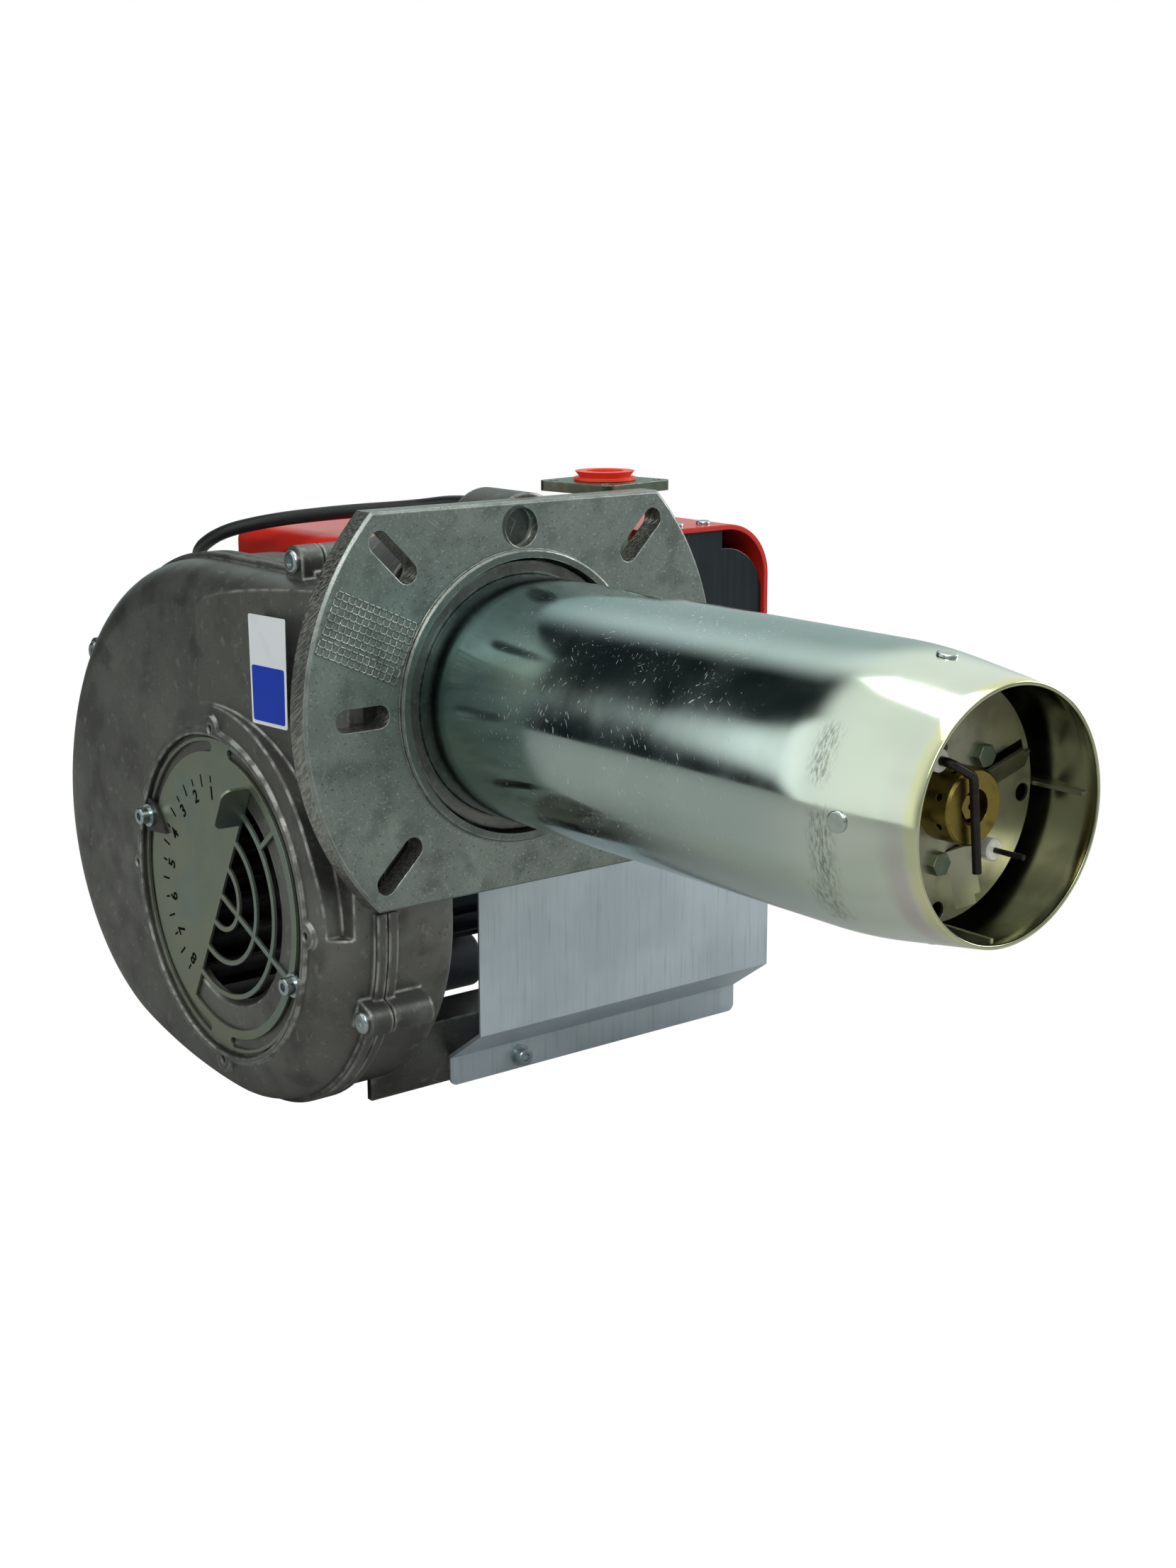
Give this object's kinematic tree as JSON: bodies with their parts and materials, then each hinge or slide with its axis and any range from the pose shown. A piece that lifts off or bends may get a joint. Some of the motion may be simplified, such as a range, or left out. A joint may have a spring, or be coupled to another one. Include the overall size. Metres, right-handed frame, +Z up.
{
  "type": "industrial gas burner",
  "caption": "Forced-draught gas burner: die-cast fan housing with a rotary air damper, slotted flange, zinc blast tube with its head, gas inlet, red hood and heat shield.",
  "frame": {"origin": "midway between the level flange slots, on the tube's axis, at the flange's boiler face", "axes": "-Y along the blast tube towards the flame, +Z up, +X towards the motor side"},
  "size_m": [0.3143, 0.5924, 0.3087],
  "materials": {
    "casing": "raw die cast",
    "flange": "raw die cast, machined rim",
    "zinc": "bright zinc with a blue and yellow sheen",
    "damper": "yellowed zinc",
    "pointer": "matt black",
    "galvanised": "galvanised sheet",
    "hood_red": "gloss red",
    "plug_red": "moulded red plastic",
    "head_steel": "bare steel",
    "brass": "turned",
    "electrode": "heat resisting wire",
    "ceramic": "glazed white ceramic",
    "fan_metal": "pressed sheet",
    "motor_black": "black enamel",
    "rubber": "black",
    "control_grey": "moulded",
    "button": "moulded",
    "socket_black": "moulded"
  },
  "bodies": {
    "base": {"intake_housing": "casing", "motor_housing": "casing", "gas_elbow": "casing", "mounting_flange": "flange", "blast_tube": "zinc", "tube_rivets": "zinc", "tube_guides": "zinc", "housing_screws": "zinc", "damper_screws": "zinc", "lip_screw": "zinc", "gas_inlet_plate": "zinc", "gas_pipe": "zinc", "elbow_screws": "zinc", "cover_screws": "zinc", "flange_screws": "zinc", "hood_screws": "zinc", "motor_screws": "zinc", "tray_posts": "zinc", "damper_pointer": "pointer", "heat_shield": "galvanised", "hood_bracket": "galvanised", "component_tray": "galvanised", "capacitor_clip": "galvanised", "chamber_cover": "galvanised", "hood": "hood_red", "gas_manifold": "head_steel", "motor_bearings": "head_steel", "motor_front_shield": "motor_black", "motor_stator": "motor_black", "motor_rear_shield": "motor_black", "motor_capacitor": "motor_black", "ignition_lead": "rubber", "lead_grommets": "rubber", "housing_seal": "rubber", "flange_seal": "rubber", "control_box": "control_grey", "ignition_transformer": "control_grey", "pressure_switch": "control_grey", "plug_socket": "socket_black"},
    "fan": {"fan_wheel": "fan_metal", "fan_hub": "fan_metal", "motor_shaft": "head_steel", "motor_rotor": "head_steel"},
    "damper": {"air_damper": "damper"},
    "head": {"gas_tube": "head_steel", "gas_nozzle": "brass", "nozzle_jet": "head_steel", "diffuser_disc": "head_steel", "diffuser_bolts": "head_steel", "electrode_insulators": "ceramic", "ignition_electrode": "electrode", "sensing_electrode": "electrode", "head_spider": "head_steel", "adjuster_rod": "head_steel", "adjuster_knob": "brass"},
    "reset": {"reset_button": "button"},
    "dial": {"pressure_dial": "button"},
    "plug": {"protective_plug": "plug_red"}
  },
  "joints": [
    {"name": "fan_spin", "type": "hinge", "parent": "base", "child": "fan", "pos_m": [-0.05, 0.118, -0.105], "axis": [1, 0, 0], "continuous": true},
    {"name": "damper_turn", "type": "hinge", "parent": "base", "child": "damper", "pos_m": [-0.0966, 0.118, -0.105], "axis": [-1, 0, 0], "range_deg": [-80, 60]},
    {"name": "head_slide", "type": "slide", "parent": "base", "child": "head", "axis": [0, 1, 0], "range_m": [-0.006, 0.01]},
    {"name": "reset_press", "type": "slide", "parent": "base", "child": "reset", "axis": [-1, 0, 0], "range_m": [0, 0.003], "stiffness_N_per_m": 300},
    {"name": "dial_turn", "type": "hinge", "parent": "base", "child": "dial", "pos_m": [0.084, 0.15, -0.006], "axis": [0, 0, 1], "range_deg": [-150, 150]},
    {"name": "plug_pull", "type": "slide", "parent": "base", "child": "plug", "axis": [0, 0, 1], "range_m": [0, 0.025]}
  ]
}
